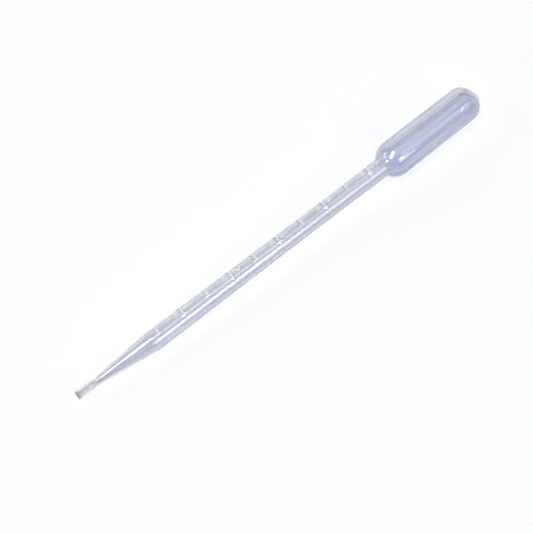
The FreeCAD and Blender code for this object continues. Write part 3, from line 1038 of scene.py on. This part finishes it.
# %% Paint of the table
paint_colour = (0.80, 0.80, 0.80)
far_from, far_to = 0.7, 1.6             # metres from the pipette: beyond it, plain paper
paint = empty_material("pale_table")
in_paint = paint.node_tree
table_rays = add_node(in_paint, "LightPath")
to_eye, in_plastic = table_rays.outputs["Is Camera Ray"], seen_in_plastic(in_paint, table_rays)
strength = brighter(in_paint, times(in_paint, to_eye, glow_to_eye),
                    times(in_paint, in_plastic, glow_in_plastic))
matt = add_node(in_paint, "BsdfDiffuse", {"Color": paint_colour})
glow = add_node(in_paint, "Emission", {"Strength": strength})
near = add_node(in_paint, "AddShader", {0: matt.outputs[0], 1: glow.outputs[0]})
far = add_node(in_paint, "Emission", {"Color": paper})
spot = add_node(in_paint, "TexCoord")
away = add_node(in_paint, "VectorMath", {0: spot.outputs["Object"]}, operation="LENGTH")
far_share = add_node(in_paint, "MapRange",
                     {"Value": away.outputs["Value"], "From Min": far_from, "From Max": far_to},
                     interpolation_type="SMOOTHSTEP")
seen_far = times(in_paint, far_share.outputs["Result"], brighter(in_paint, to_eye, in_plastic))
whole_table = add_node(in_paint, "MixShader",
                       {"Fac": seen_far, 1: near.outputs[0], 2: far.outputs[0]})
add_node(in_paint, "OutputMaterial", {"Surface": whole_table.outputs[0]})
table_mesh.materials.append(paint)
print("matt up to", far_from, "m, plain paper beyond", far_to, "m")

# %% Sky
room_colour, room_level = (0.93, 0.95, 1.0), 0.04
# a direction's height is the sine of its angle over the horizon
backdrop_foot, backdrop_top = math.sin(math.radians(3)), math.sin(math.radians(11))
world = bpy.data.worlds.new("studio")
bpy.context.scene.world = world
world.use_nodes = True
in_sky = world.node_tree
in_sky.nodes.clear()
room = add_node(in_sky, "Background", {"Color": room_colour, "Strength": room_level})
backdrop = add_node(in_sky, "Background", {"Color": paper})
direction = add_node(in_sky, "SeparateXYZ",
                     {"Vector": add_node(in_sky, "TexCoord").outputs["Generated"]})
low_down = add_node(in_sky, "MapRange", {"Value": direction.outputs["Z"],
                                         "From Min": backdrop_top, "From Max": backdrop_foot})
sky_rays = add_node(in_sky, "LightPath")
low_in_plastic = times(in_sky, low_down.outputs["Result"], seen_in_plastic(in_sky, sky_rays))
seen = brighter(in_sky, sky_rays.outputs["Is Camera Ray"], low_in_plastic)
whole_sky = add_node(in_sky, "MixShader",
                     {"Fac": seen, 1: room.outputs[0], 2: backdrop.outputs[0]})
add_node(in_sky, "OutputWorld", {"Surface": whole_sky.outputs[0]})
world.cycles.sampling_method = "NONE"   # the backdrop is met by rays, and isn't a lamp
print("a room at", room_level, "with a pale backdrop for the eye")

# %% [markdown]
# ## The light
#
# A clear object shows what stands round it, more than light that falls on it. So the room is laid
# out as a studio for glassware would be: a dim, slightly blue room, a tall window beyond
# the stem for the bright spot on the bulb's shoulder, low windows for the glints on the dome, and
# wide pale screens along both sides that draw the long soft bands down the bulb and the stem.
# Each is an area light, sized by the angle that it fills. Sharp white glints need a bright source,
# but a bright source would also bleach the table. A window therefore has a twin, named shine,
# that only glossy and clear surfaces see.

# %% Softboxes
lit_point = middle + Vector((0.055, 0, 0))      # on the bulb, near its shoulder
lamp_distance, twin_distance = 3.0, 3.0 * 1.03  # metres; the twin stands a little behind


def softbox(name, azimuth, elevation, wide, tall, radiance, lean_over=0.0, shine=0.0):
    """An area light that faces the bulb from this direction, in degrees.

    wide and tall are the angles that it fills, and lean_over turns it about its own middle.
    radiance is its level, and shine the level of its twin, which lights nothing matt.
    """
    a, e = math.radians(azimuth), math.radians(elevation)
    way = Vector((math.cos(e) * math.cos(a), math.cos(e) * math.sin(a), math.sin(e)))
    for suffix, level, away in (("", radiance, lamp_distance), ("_shine", shine, twin_distance)):
        if level == 0:
            continue
        lamp = bpy.data.lights.new(name + suffix, "AREA")
        lamp.shape = "RECTANGLE"
        lamp.size = 2 * away * math.tan(math.radians(wide / 2))
        lamp.size_y = 2 * away * math.tan(math.radians(tall / 2))
        lamp.energy = level * lamp.size * lamp.size_y * math.pi
        box = put_in_scene(name + suffix, lamp)
        box.location = lit_point + way * away
        face(box, -way, math.radians(lean_over))
        box.visible_diffuse = suffix == ""


softbox("window", 171, 67, 15, 42, 6.5, lean_over=37, shine=14.0)
softbox("low_window", 178, 22, 12, 18, 3.5, shine=7.0)
softbox("second_window", 138, 27, 32, 20, 2.0, shine=2.0)
softbox("screen", -80, 37, 31, 27, 3.4, shine=1.4)
softbox("lamp", -79, 47, 12, 12, 0.0, shine=7.5)
softbox("strip", -50, 49, 12, 24, 1.5)
softbox("high_screen", -19, 76, 40, 30, 0.9)
softbox("pale_wall", 70, 18, 56, 38, 1.4)
softbox("end_wall", -5, 20, 60, 26, 1.2)

# %% [markdown]
# ## Depth of the light's path
#
# Light that enters a thin clear wall runs along it and turns back many times, so a path needs
# more steps than the usual dozen, or the bulb's edges go dark. The view transform is Standard, so
# that a colour shows as it was mixed.

# %% Light paths and view
bpy.context.scene.view_settings.view_transform = "Standard"
bpy.context.scene.cycles.max_bounces = 24
bpy.context.scene.cycles.glossy_bounces = 16
bpy.context.scene.cycles.transmission_bounces = 24
print("up to", bpy.context.scene.cycles.max_bounces, "bounces")
